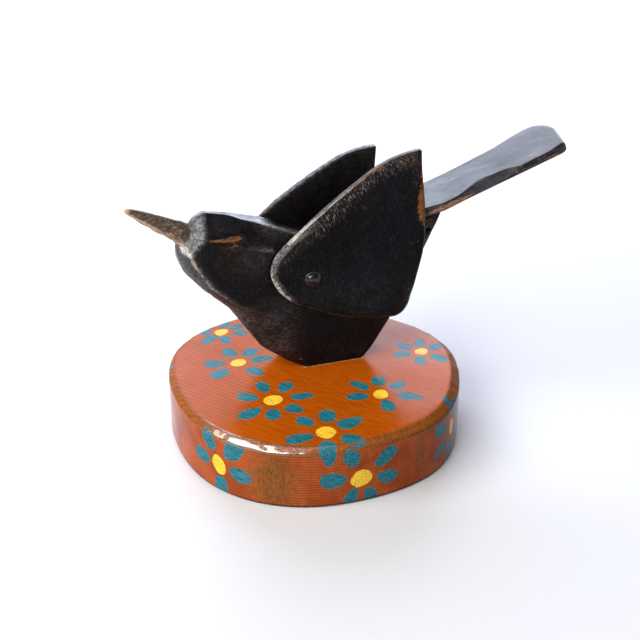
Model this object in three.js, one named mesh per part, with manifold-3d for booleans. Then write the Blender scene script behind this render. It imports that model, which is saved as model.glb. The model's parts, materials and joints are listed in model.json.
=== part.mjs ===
// A folk carving: a small black bird with raised wings, stood on a round painted wooden base.
//
// Units are millimetres and +Z is up. The origin is the middle of the base's underside. X runs
// along the bird, with its beak at -X and its tail at +X, and its left side faces -Y.
//
// The bird is whittled from boards: one for head, body and foot, one for the tail and one for
// each wing. The beak is a thorn, and a round-headed nail holds each wing.

import * as THREE from 'three';
import { mergeVertices } from 'three/addons/utils/BufferGeometryUtils.js';
import Module from 'manifold-3d';

const wasm = await Module();
wasm.setup();

// Driving dimensions of the base

const BASE_RADIUS = 55;
const BASE_HEIGHT = 24;
const RIM_STEPS = 120;
// The rim was sawn by hand: [lobes round the rim, how far out in mm, where the first lobe is in degrees]
const RIM_WOBBLE = [[2, 0.29, 82], [3, 0.44, 3], [4, 0.50, -134], [5, 0.86, 23], [6, 0.46, 75]];
// The top edge is whittled to a slope of uneven width
const EDGE_SLOPE = 2.2;
const EDGE_WOBBLE = [[1, 0.47, -42], [2, 0.39, -7]];
const FOOT_EDGE = 0.5;

// Driving dimensions of the bird

const BIRD_BACK = 12.3;          // the bird's middle plane stands this far behind the base's middle
const GAP = 0.3;                 // clearance between pieces that bear on each other
const BODY_HALF = 10.2;          // half the thickness of the body board at the foot
const BODY_TAPER = 0.04;         // how much of it is lost for each mm of height
const BACK_SLOPE = 0.366;        // the back falls this much for each mm towards the tail
const TAIL_RISE = 0.375;         // the tail climbs this much for each mm towards its end
const TAIL_THICK = 3.1;
const VALLEY_X = 15;             // where the back meets the tail
const VALLEY_Z = 70.3;

// The left wing, laid flat and measured from its nail: u runs to the rear and v up
const WING_THICK = 4;
const WING_EDGE = 0.9;           // rounding of the wing's edges
const WING_LEAN = 3;             // degrees that the wings close towards each other at the top
const WING_SPREAD = 2;           // degrees that they open towards the rear, to clear the tail
const LEFT_WING = { nailX: -0.9, nailZ: 62.1, turn: 0, scale: 1, bearsAt: [-12, 72.6] };
// The right wing is a little smaller, nailed further forward, and tipped back
const RIGHT_WING = { nailX: -11.5, nailZ: 62.5, turn: -4, scale: 0.94, bearsAt: [-20, 74] };
const NAIL_HEAD = { radius: 2.0, foot: 0.6, height: 1.2 };
const NAIL_COLLAR = { radius: 2.7, edge: 0.35 };
const NAIL_SHANK_R = 0.8;
const NAIL_LENGTH = 11;
const NAIL_CLEAR = 0.05;         // the collar stands this far off the wing

// Two flat cuts make the face. They meet on a ridge from the chin up to the crown, and the beak
// sits across it.
const CHIN = { x: -47.9, z: 77.2 };
const CROWN = { x: -37.3, z: 87.6 };
const BEAK_LENGTH = 22.8;
const BEAK_ROOT = { x: -45.0, z: 80.0 };
const BEAK_TILT = 31.5;          // degrees above the level
const BEAK_SUNK = 4;             // how much of the thorn is cut to fit over the ridge
const BEAK_BASE_HIGH = 4.5;      // half its height and half its width at the root
const BEAK_BASE_WIDE = 3.9;

// Colours

const PAINT = {
  black: { color: 0x17171b, roughness: 0.38, metalness: 0 },
  orange: { color: 0xb5501f, roughness: 0.35, metalness: 0 },
  thorn: { color: 0x6b4f3a, roughness: 0.8, metalness: 0 },
  nail: { color: 0x2c2b2a, roughness: 0.3, metalness: 0.6 },
};

const degrees = (angle) => THREE.MathUtils.degToRad(angle);

// A closed skin over rings of points. Every ring has the same count, and the ends are capped by fans.
function skinOverRings(rings) {
  const count = rings[0].length;
  const points = rings.flat();
  const faces = [];
  for (let r = 0; r + 1 < rings.length; r += 1) {
    for (let k = 0; k < count; k += 1) {
      const a = r * count + k;
      const b = r * count + ((k + 1) % count);
      faces.push(a, b, b + count, a, b + count, a + count);
    }
  }
  for (const end of [0, rings.length - 1]) {
    const centre = new THREE.Vector3();
    rings[end].forEach((point) => centre.addScaledVector(point, 1 / count));
    points.push(centre);
    for (let k = 0; k < count; k += 1) {
      const a = end * count + k;
      const b = end * count + ((k + 1) % count);
      faces.push(...(end === 0 ? [b, a, points.length - 1] : [a, b, points.length - 1]));
    }
  }
  const geometry = new THREE.BufferGeometry().setFromPoints(points);
  geometry.setIndex(faces);
  return geometry;
}

// Geometry to a solid that can be cut, and back

function toSolid(geometry) {
  const bare = new THREE.BufferGeometry();
  bare.setAttribute('position', geometry.getAttribute('position'));
  bare.setIndex(geometry.getIndex());
  const welded = mergeVertices(bare, 1e-5);
  const mesh = new wasm.Mesh({
    numProp: 3,
    vertProperties: new Float32Array(welded.getAttribute('position').array),
    triVerts: new Uint32Array(welded.getIndex().array),
  });
  return new wasm.Manifold(mesh);
}

function toGeometry(solid) {
  const mesh = solid.getMesh();
  const geometry = new THREE.BufferGeometry();
  geometry.setAttribute('position', new THREE.BufferAttribute(new Float32Array(mesh.vertProperties), 3));
  geometry.setIndex(new THREE.BufferAttribute(new Uint32Array(mesh.triVerts), 1));
  return geometry;
}

function cutAway(geometry, cutters) {
  return toGeometry(cutters.reduce((left, cutter) => left.subtract(toSolid(cutter)), toSolid(geometry)));
}

function named(name, geometry, paint) {
  const shaded = geometry.index ? geometry.toNonIndexed() : geometry;
  shaded.computeVertexNormals();
  const mesh = new THREE.Mesh(shaded, new THREE.MeshStandardMaterial({ ...paint, flatShading: true }));
  mesh.name = name;
  return mesh;
}

// Carries a shape to its place. A mirroring frame turns it inside out, so its faces are turned back.
function placed(geometry, frame) {
  const moved = (geometry.index ? geometry.clone() : mergeVertices(geometry)).applyMatrix4(frame);
  if (frame.determinant() < 0) {
    moved.setIndex(Array.from(moved.getIndex().array).reverse());
  }
  return moved;
}

// The base

function wobble(lobes, angle) {
  const lobe = ([count, size, phase]) => size * Math.cos(count * angle - degrees(phase));
  return lobes.reduce((sum, next) => sum + lobe(next), 0);
}

function makeBase() {
  const ring = (inset, z) => Array.from({ length: RIM_STEPS }, (unused, k) => {
    const angle = (2 * Math.PI * k) / RIM_STEPS;
    const radius = BASE_RADIUS + wobble(RIM_WOBBLE, angle) - inset(angle);
    return new THREE.Vector3(radius * Math.cos(angle), radius * Math.sin(angle), z(angle));
  });
  const slope = (angle) => EDGE_SLOPE + wobble(EDGE_WOBBLE, angle);
  return skinOverRings([
    ring(() => FOOT_EDGE, () => 0),
    ring(() => 0, () => FOOT_EDGE),
    ring(() => 0, (angle) => BASE_HEIGHT - slope(angle)),
    ring(slope, () => BASE_HEIGHT),
  ]);
}

// The body. Each station round its outline is [rim x, rim z, half width of the rim, ridge x, ridge z]:
// the rim is the narrow edge of the board, the ridge is where its flat side begins, and the
// whittled facet lies between the two.
const TAIL_ANGLE = Math.atan(TAIL_RISE);
const SEAT_DEPTH = TAIL_THICK + GAP;
const SEAT_X = VALLEY_X + SEAT_DEPTH * Math.sin(TAIL_ANGLE);
const seatZ = (x) => VALLEY_Z - SEAT_DEPTH / Math.cos(TAIL_ANGLE) + TAIL_RISE * (x - VALLEY_X);
const backZ = (x) => VALLEY_Z + BACK_SLOPE * (VALLEY_X - x);

const BODY_STATIONS = [
  [CROWN.x, CROWN.z, 0.9, -38.7, 80.0],
  [-28.9, 86.0, 2.0, -30.5, 78.0],
  [-23.7, 84.2, 3.5, -24.5, 75.2],
  [-16.7, backZ(-16.7), 5.0, -17.5, 73.2],
  [VALLEY_X, VALLEY_Z, 7.6, VALLEY_X - 0.6, 68.6],
  [SEAT_X, seatZ(SEAT_X), 8.0, SEAT_X, seatZ(SEAT_X) - 0.8],
  [51.0, seatZ(51.0), 7.8, 50.3, seatZ(51.0) - 0.9],
  [31.0, 38.9, 8.6, 29.8, 39.6],
  [24.0, 27.8, 9.0, 22.9, 28.6],
  [19.8, BASE_HEIGHT, 9.6, 19.2, 24.8],
  [-2.5, BASE_HEIGHT, 9.5, -1.9, 24.8],
  [-8.0, 26.5, 7.3, -5.0, 29.0],
  [-17.9, 34.0, 6.5, -10.5, 38.0],
  [-24.6, 43.5, 5.8, -16.5, 48.0],
  [-30.0, 51.6, 5.5, -27.6, 53.2],
  [-39.4, 59.3, 5.0, -37.4, 61.6],
  [-46.0, 66.8, 4.0, -41.8, 68.9],
  [-47.6, 71.3, 2.3, -43.4, 72.0],
  [CHIN.x, CHIN.z, 0.9, -44.9, 74.4],
];

const bodySideY = (z) => BODY_HALF - BODY_TAPER * (z - BASE_HEIGHT);

function makeBody() {
  const ring = (point) => BODY_STATIONS.map(point);
  return skinOverRings([
    ring(([, , , x, z]) => new THREE.Vector3(x, -bodySideY(z), z)),
    ring(([x, z, half]) => new THREE.Vector3(x, -half, z)),
    ring(([x, z, half]) => new THREE.Vector3(x, half, z)),
    ring(([, , , x, z]) => new THREE.Vector3(x, bodySideY(z), z)),
  ]);
}

// The tail, laid flat: x runs from its root to its end, y to the bird's right and z up. Its root is
// narrowed to pass between the wings, and a knife has cut a notch in its left edge.

const TAIL_LENGTH = 92.5;
const TAIL_NECK = { half: 8.6, length: 28 };
const TAIL_FLARE = { half: 10.8, at: 37 };
const TAIL_END = { half: 11.8, skew: 3.8, round: 7 };
// Points along the notch: [distance from the root, how far in it reaches]
const TAIL_NOTCH = [[43, -0.3], [54, 4.6], [64.5, 3.2], [70.5, -0.3]];
const NOTCH_FLOOR = 1.2;         // height of the side that the knife left

function makeTail() {
  const shape = new THREE.Shape();
  const { half, skew, round } = TAIL_END;
  shape.moveTo(0, -TAIL_NECK.half);
  shape.lineTo(TAIL_NECK.length, -TAIL_NECK.half);
  shape.lineTo(TAIL_FLARE.at, -TAIL_FLARE.half);
  shape.lineTo(TAIL_LENGTH - skew - 1.6, -half);
  shape.quadraticCurveTo(TAIL_LENGTH - skew, -half, TAIL_LENGTH - skew + 0.3, -half + 1.6);
  shape.lineTo(TAIL_LENGTH, half - round);
  shape.quadraticCurveTo(TAIL_LENGTH, half, TAIL_LENGTH - round, half);
  shape.lineTo(TAIL_FLARE.at, TAIL_FLARE.half);
  shape.lineTo(TAIL_NECK.length, TAIL_NECK.half);
  shape.lineTo(0, TAIL_NECK.half);
  shape.closePath();
  const board = new THREE.ExtrudeGeometry(shape, {
    depth: TAIL_THICK,
    bevelEnabled: false,
    curveSegments: 6,
  });
  const widening = (half - TAIL_FLARE.half) / (TAIL_LENGTH - skew - TAIL_FLARE.at);
  const edgeY = (x) => TAIL_FLARE.half + widening * (x - TAIL_FLARE.at);
  const outside = 3;
  const notchRing = (z) => {
    const reach = (z - NOTCH_FLOOR) / (TAIL_THICK - NOTCH_FLOOR);
    const inner = TAIL_NOTCH.map(([x, depth]) => new THREE.Vector3(x, depth * reach - edgeY(x), z));
    const outer = TAIL_NOTCH.map(([x]) => new THREE.Vector3(x, -edgeY(x) - outside, z)).reverse();
    return [...inner, ...outer].reverse();
  };
  return cutAway(board, [skinOverRings([notchRing(NOTCH_FLOOR), notchRing(TAIL_THICK + 1)])]);
}

// A wing's outline and its solid, laid flat with its nail at the origin

function wingShape() {
  const shape = new THREE.Shape();
  shape.moveTo(41.8, 43.5);
  shape.quadraticCurveTo(33, 42.6, 26.5, 39.3);
  shape.quadraticCurveTo(18, 34.6, 5.7, 25.2);
  shape.quadraticCurveTo(-1.2, 19.9, -9.4, 12.5);
  shape.quadraticCurveTo(-17.2, 5.2, -13.6, -1.6);
  shape.quadraticCurveTo(-11.2, -7.3, -5, -10.4);
  shape.lineTo(10, -16.9);
  shape.quadraticCurveTo(18, -19.2, 31.4, -20.2);
  shape.quadraticCurveTo(36, -19.8, 37.8, -14.2);
  shape.lineTo(42.6, 4.4);
  shape.quadraticCurveTo(44.4, 17, 42.2, 32.3);
  shape.closePath();
  return shape;
}

function makeWing() {
  const board = new THREE.ExtrudeGeometry(wingShape(), {
    depth: WING_THICK - 2 * WING_EDGE,
    bevelEnabled: true,
    bevelThickness: WING_EDGE,
    bevelSize: WING_EDGE,
    bevelOffset: -WING_EDGE,
    bevelSegments: 2,
    curveSegments: 6,
  });
  board.translate(0, 0, WING_EDGE);
  return board;
}

// The nail: a dome on a thin collar, with its shank going down through the wing

function makeNail() {
  const point = 1;
  const profile = [
    new THREE.Vector2(0, -NAIL_LENGTH),
    new THREE.Vector2(NAIL_SHANK_R, point - NAIL_LENGTH),
    new THREE.Vector2(NAIL_SHANK_R, 0),
    new THREE.Vector2(NAIL_COLLAR.radius, 0),
    new THREE.Vector2(NAIL_COLLAR.radius, NAIL_COLLAR.edge),
    new THREE.Vector2(NAIL_HEAD.radius, NAIL_HEAD.foot),
  ];
  const { radius, foot, height } = NAIL_HEAD;
  for (let k = 1; k < 5; k += 1) {
    const angle = (Math.PI / 2) * (k / 5);
    profile.push(new THREE.Vector2(radius * Math.cos(angle), foot + height * Math.sin(angle)));
  }
  profile.push(new THREE.Vector2(0, foot + height));
  const nail = new THREE.LatheGeometry(profile, 20);
  nail.rotateX(Math.PI / 2);
  return nail;
}

// The beak, a thorn along +X from its broad root. It has three faint ridges and droops at its tip.

function makeBeak() {
  const steps = 12;
  const around = 18;
  const ridges = 0.06;
  const droop = 0.7;
  const rings = [];
  for (let s = 0; s <= steps; s += 1) {
    const t = s / steps;
    const width = Math.pow(1 - t, 0.7) + 0.13 * t;
    const ring = Array.from({ length: around }, (unused, k) => {
      const angle = (2 * Math.PI * k) / around;
      const ridge = 1 + ridges * Math.cos(3 * angle + 0.6) * (1 - t);
      const y = BEAK_BASE_WIDE * width * ridge * Math.cos(angle);
      const z = BEAK_BASE_HIGH * width * ridge * Math.sin(angle) - droop * t * t;
      return new THREE.Vector3((BEAK_LENGTH + BEAK_SUNK) * t, y, z);
    });
    rings.push(ring);
  }
  return skinOverRings(rings);
}

// Putting the pieces together

const carving = new THREE.Group();
carving.add(named('base', makeBase(), PAINT.orange));

const bird = new THREE.Group();
bird.position.y = BIRD_BACK;
carving.add(bird);

// A frame at a wing's nail hole: its X runs to the rear, its Y up the wing and its Z out of the body
function wingFrame(side, { nailX, nailZ, turn, bearsAt: [bearsX, bearsZ] }) {
  const lean = degrees(WING_LEAN);
  const spread = degrees(WING_SPREAD);
  const rear = new THREE.Vector3(Math.cos(spread), side * Math.sin(spread), 0);
  const level = new THREE.Vector3(-Math.sin(spread), side * Math.cos(spread), 0);
  const out = level.clone().multiplyScalar(Math.cos(lean)).setZ(Math.sin(lean));
  const up = level.clone().multiplyScalar(-Math.sin(lean)).setZ(Math.cos(lean));
  const y = bodySideY(bearsZ) + GAP + Math.tan(lean) * (bearsZ - nailZ) + Math.tan(spread) * (nailX - bearsX);
  const frame = new THREE.Matrix4().makeBasis(rear, up, out).setPosition(nailX, side * y, nailZ);
  return frame.multiply(new THREE.Matrix4().makeRotationZ(degrees(turn)));
}

const LEFT = wingFrame(-1, LEFT_WING);
const RIGHT = wingFrame(1, RIGHT_WING);
const HOLE = new THREE.CylinderGeometry(NAIL_SHANK_R + GAP, NAIL_SHANK_R + GAP, 2 * NAIL_LENGTH + 2, 16);
HOLE.rotateX(Math.PI / 2);
const holeIn = (frame) => placed(HOLE, frame);

bird.add(named('body', cutAway(makeBody(), [holeIn(LEFT), holeIn(RIGHT)]), PAINT.black));

const tail = makeTail();
tail.translate(GAP, 0, GAP);
tail.rotateY(-TAIL_ANGLE);
tail.translate(SEAT_X, 0, seatZ(SEAT_X));
bird.add(named('tail', tail, PAINT.black));

for (const [name, frame, { scale }] of [['left', LEFT, LEFT_WING], ['right', RIGHT, RIGHT_WING]]) {
  const wing = placed(makeWing().scale(scale, scale, 1), frame);
  bird.add(named(`wing_${name}`, cutAway(wing, [holeIn(frame)]), PAINT.black));
  const nail = placed(makeNail().translate(0, 0, WING_THICK + NAIL_CLEAR), frame);
  bird.add(named(`pin_${name}`, nail, PAINT.nail));
}

// The thorn's root is cut to the shape of the face, a little clear of it
const beak = makeBeak();
beak.translate(-BEAK_SUNK, 0, 0);
beak.rotateY(degrees(BEAK_TILT) - Math.PI);
beak.translate(BEAK_ROOT.x, 0, BEAK_ROOT.z);
const face = makeBody();
face.translate(-GAP * Math.cos(degrees(BEAK_TILT)), 0, GAP * Math.sin(degrees(BEAK_TILT)));
bird.add(named('beak', cutAway(beak, [face]), PAINT.thorn));

export default carving;
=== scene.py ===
# %% [markdown]
# # A whittled black bird on a painted base
#
# The real carving is a handful of small boards. A knife has shaped them, gloss black paint covers
# them, and years of handling have worn the paint off their edges. This lesson builds that look in
# Blender around a rigid model that already has the right sizes.
#
# Every visible piece here is a surface worked out with numpy: rings of points are carried from one
# guide line to the next, and then softened, dented and scored by formulas. A subdivided cube or a
# sculpt would also do, but formulas keep every width in millimetres and give the same result each
# time.

# %% Load the rigid model
import json
import math

import bpy
import numpy as np
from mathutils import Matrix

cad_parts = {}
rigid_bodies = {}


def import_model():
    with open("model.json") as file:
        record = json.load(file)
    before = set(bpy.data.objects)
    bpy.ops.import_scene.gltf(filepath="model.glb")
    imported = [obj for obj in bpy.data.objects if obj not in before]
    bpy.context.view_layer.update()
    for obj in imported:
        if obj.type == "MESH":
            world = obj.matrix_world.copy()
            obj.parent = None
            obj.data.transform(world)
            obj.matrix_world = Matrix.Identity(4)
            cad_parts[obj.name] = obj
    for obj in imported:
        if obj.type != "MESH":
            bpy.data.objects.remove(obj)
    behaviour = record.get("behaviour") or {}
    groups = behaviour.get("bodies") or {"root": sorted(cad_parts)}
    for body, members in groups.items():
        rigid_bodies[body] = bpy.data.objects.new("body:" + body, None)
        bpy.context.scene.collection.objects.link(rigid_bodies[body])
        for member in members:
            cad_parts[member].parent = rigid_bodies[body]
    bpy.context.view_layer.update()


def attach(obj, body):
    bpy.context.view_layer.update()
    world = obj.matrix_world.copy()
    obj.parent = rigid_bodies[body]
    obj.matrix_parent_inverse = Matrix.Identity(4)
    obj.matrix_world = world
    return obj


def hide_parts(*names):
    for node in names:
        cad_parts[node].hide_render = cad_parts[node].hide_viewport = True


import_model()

MM = 0.001

# %% [markdown]
# ## Tools for surfaces
#
# A whittled piece of wood is never quite flat or quite sharp. Two small helpers give that. The
# first is a soft random height field, for the slow waves that a hand leaves. The second averages
# each point with its neighbours, which rounds ridges the way handling does. A Bevel modifier
# would round every edge alike, while averaging follows how far apart the points are.

# %% Random heights that vary smoothly
def waves(points, size, seed):
    """Heights from -1 to 1 on a cubic lattice of cells of that size, in mm. Inside a cell they blend
    by the S curve 3t^2 - 2t^3 along each axis."""
    table = np.random.default_rng(seed).uniform(-1, 1, (24, 24, 24))
    cell = np.floor(points / size).astype(int)
    t = points / size - cell
    t = t * t * (3 - 2 * t)
    total = 0
    for corner in np.ndindex(2, 2, 2):
        share = np.prod(np.where(corner, t, 1 - t), axis=-1)
        i, j, k = np.moveaxis((cell + corner) % 24, -1, 0)
        total = total + share * table[i, j, k]
    return total


def carried(guides, steps):
    """Rows carried straight from each guide ring to the next: guide + (next - guide) * share."""
    rows = [
        ring + (following - ring) * (np.arange(count) / count)[:, None, None]
        for ring, following, count in zip(guides, guides[1:], steps)
    ]
    return np.concatenate([*rows, guides[-1][None]])


def handled(rows, passes):
    """Rows of a closed tube, worn round: each point becomes (before + 2 * itself + after) / 4, first
    from row to row and then round the ring."""
    for _ in range(passes):
        inner = (rows[:-2] + 2 * rows[1:-1] + rows[2:]) / 4
        rows = np.concatenate([rows[:1], inner, rows[-1:]])
        rows = (np.roll(rows, 1, axis=1) + 2 * rows + np.roll(rows, -1, axis=1)) / 4
    return rows


def facing(rows):
    """Unit normals: the cross product of the step to the next row and the step round the ring."""
    down = np.gradient(rows, axis=0)
    round_ring = (np.roll(rows, -1, axis=1) - np.roll(rows, 1, axis=1)) / 2
    normal = np.cross(round_ring, down)
    return normal / np.maximum(np.linalg.norm(normal, axis=-1, keepdims=True), 1e-9)


def spot(x, z, at, size):
    """A soft round patch: e to the power of minus the squared distance, measured in its own radii."""
    return np.exp(-(((x - at[0]) / size[0]) ** 2) - ((z - at[1]) / size[1]) ** 2)


def along(values, steps):
    """Spreads one value for each guide ring over the rows that carried() makes."""
    return np.interp(np.arange(sum(steps) + 1), np.cumsum([0, *steps]), values)


# %% From rows of points to a closed mesh
def skin(name, rows, marks, material, node):
    """A closed mesh in metres: four-sided faces between neighbouring rings, and a fan at each end to
    the middle of that ring. It is turned to face out if its volume, a sixth of the sum of
    a . (b x c) over its triangles, comes out negative."""
    count, columns = rows.shape[:2]
    points = np.vstack([rows.reshape(-1, 3), rows[0].mean(0), rows[-1].mean(0)])
    k = np.arange(columns)
    after = (k + 1) % columns
    start = (np.arange(count - 1) * columns)[:, None]
    quads = np.stack([start + k, start + after, start + columns + after, start + columns + k], -1)
    quads = quads.reshape(-1, 4)
    last = (count - 1) * columns
    fans = np.vstack([
        np.stack([after, k, np.full(columns, count * columns)], -1),
        np.stack([last + k, last + after, np.full(columns, count * columns + 1)], -1),
    ])
    triangles = np.vstack([quads[:, :3], quads[:, [0, 2, 3]], fans])
    a, b, c = (points[triangles[:, i]] for i in range(3))
    if np.einsum("ij,ij->", a, np.cross(b, c)) < 0:
        quads, fans = quads[:, ::-1], fans[:, ::-1]
    mesh = bpy.data.meshes.new(name)
    mesh.from_pydata(points * MM, [], [*quads.tolist(), *fans.tolist()])
    for mark, values in marks.items():
        whole = np.concatenate([values.ravel(), values[0].mean(keepdims=True), values[-1].mean(keepdims=True)])
        mesh.attributes.new(mark, "FLOAT", "POINT").data.foreach_set("value", whole.astype(np.float32))
    mesh.shade_smooth()
    mesh.materials.append(material)
    piece = bpy.data.objects.new(name, mesh)
    bpy.context.scene.collection.objects.link(piece)
    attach(piece, "root")
    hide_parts(node)
    print(f"{name}: {len(mesh.polygons)} faces, {np.round(np.ptp(points, axis=0), 1)} mm")
    return piece


# %% [markdown]
# ## Tools for finishes
#
# A finish is a small graph of shader nodes. Writing it as nested calls keeps it short: each call
# adds a node, wires or sets its inputs in order, and hands back its output.

# %% Writing shader graphs
def finish(name):
    """A new material with its node tree and its Principled shader."""
    material = bpy.data.materials.new(name)
    material.use_nodes = True
    return material, material.node_tree, material.node_tree.nodes["Principled BSDF"]


def feed(tree, socket, value):
    if isinstance(value, bpy.types.NodeSocket):
        tree.links.new(value, socket)
    elif value is not None:
        socket.default_value = value


def node(tree, kind, *inputs, out=0, **settings):
    made = tree.nodes.new("ShaderNode" + kind)
    for key, value in settings.items():
        setattr(made, key, value)
    for socket, value in zip(made.inputs, inputs):
        feed(tree, socket, value)
    return made.outputs[out]


def maths(tree, operation, *inputs):
    return node(tree, "Math", *inputs, operation=operation)


def band(tree, value, low, high):
    """0 below low, 1 above high, and a smooth step between them."""
    return node(tree, "MapRange", value, low, high, 0.0, 1.0, interpolation_type="SMOOTHSTEP")


def mixed(tree, share, first, second):
    made = tree.nodes.new("ShaderNodeMix")
    made.data_type = "RGBA"
    for index, value in ((0, share), (6, first), (7, second)):
        feed(tree, made.inputs[index], value)
    return made.outputs[2]


def mark(tree, name):
    return node(tree, "Attribute", attribute_name=name, out=2)


def place(tree, turn=(0, 0, 0), stretch=(1, 1, 1)):
    """Object coordinates in mm, turned and then stretched so that a pattern runs along the grain."""
    where = node(tree, "TexCoord", out=3)
    turned = node(tree, "Mapping", where, (0, 0, 0), turn, (1 / MM,) * 3, vector_type="POINT")
    return node(tree, "VectorMath", turned, stretch, operation="MULTIPLY")


def speckle(tree, where, size, detail=3.0, rough=0.5):
    """Noise with features of about that size in mm."""
    return node(tree, "TexNoise", where, None, 1 / size, detail, rough)


def roughened(tree, shader, height, depth, strength=1.0, below=None):
    bump = tree.nodes.new("ShaderNodeBump")
    bump.inputs["Strength"].default_value = strength
    bump.inputs["Distance"].default_value = depth * MM
    feed(tree, bump.inputs["Height"], height)
    feed(tree, bump.inputs["Normal"], below)
    if shader:
        tree.links.new(bump.outputs[0], shader.inputs["Normal"])
    return bump.outputs[0]


# %% [markdown]
# ## The camera, the floor and the light
#
# The photo looks down at the bird's left side from a little in front, through a fairly long lens.
# The camera is set first.

# %% Camera
BEARING = math.radians(-18.6)
PITCH = math.radians(27.12)
camera = bpy.data.objects.new("camera", bpy.data.cameras.new("camera"))
camera.data.sensor_width = 36
camera.data.lens = 36 * 1300 / 640
camera.data.clip_start = 0.01
camera.location = (-0.1338, -0.4041, 0.2627)
camera.rotation_euler = (math.pi / 2 - PITCH, 0, BEARING)
bpy.context.scene.collection.objects.link(camera)
bpy.context.scene.camera = camera
print("lens", round(camera.data.lens, 1), "mm")

# %% [markdown]
# Gloss paint shows what it mirrors. The tail and the back mirror bright windows behind the bird,
# its left side mirrors a dimmer floor, and a window at the left throws the soft shadow. Each light
# is a soft panel given by its bearing and elevation as the camera sees them (bearing 0 is straight
# behind the bird), and by how bright it looks, where white paper looks about 1.

# %% Light panels
def panel(name, bearing, elevation, distance, size, brightness, colour=(1, 1, 1)):
    """A soft panel turned to the carving. A flat panel that looks this bright gives off
    pi * area * brightness watts."""
    light = bpy.data.lights.new(name, "AREA")
    light.shape = "RECTANGLE"
    light.size, light.size_y = size
    light.energy = math.pi * size[0] * size[1] * brightness
    light.color = colour
    lamp = bpy.data.objects.new(name, light)
    around, up = BEARING - math.radians(bearing), math.radians(elevation)
    lamp.location = (
        -math.sin(around) * math.cos(up) * distance,
        math.cos(around) * math.cos(up) * distance,
        math.sin(up) * distance + 0.04,
    )
    lamp.rotation_euler = (math.pi / 2 - up, 0, around + math.pi)
    bpy.context.scene.collection.objects.link(lamp)


SKY = (0.76, 0.82, 1.0)
panel("window_behind_left", -26, 25.5, 1.8, (1.0, 1.3), 7.2, SKY)
panel("window_behind_middle", -4.5, 16.0, 1.8, (0.36, 0.95), 4.0, SKY)
panel("window_behind_right", 12.5, 16.0, 1.8, (0.78, 0.95), 8.0, SKY)
panel("window_left", -130, 39, 1.3, (1.5, 0.66), 9.0, (1.0, 0.98, 0.96))
panel("ceiling_lamp", 150, 66, 1.5, (0.6, 0.6), 2.2, (1.0, 0.98, 0.96))

# %% Floor and room
floor_material, tree, shader = finish("floor")
shader.inputs["Base Color"].default_value = (0.68, 0.68, 0.69, 1)
shader.inputs["Roughness"].default_value = 0.6
floor_mesh = bpy.data.meshes.new("floor")
floor_mesh.from_pydata([(-4, -4, 0), (4, -4, 0), (4, 4, 0), (-4, 4, 0)], [], [(0, 1, 2, 3)])
floor_mesh.materials.append(floor_material)
floor = bpy.data.objects.new("floor", floor_mesh)
bpy.context.scene.collection.objects.link(floor)

world = bpy.data.worlds.new("room")
world.use_nodes = True
bpy.context.scene.world = world
world.node_tree.nodes["Background"].inputs[0].default_value = (0.86, 0.9, 1.0, 1)
world.node_tree.nodes["Background"].inputs[1].default_value = 0.18
bpy.context.scene.view_settings.view_transform = "Standard"
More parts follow.
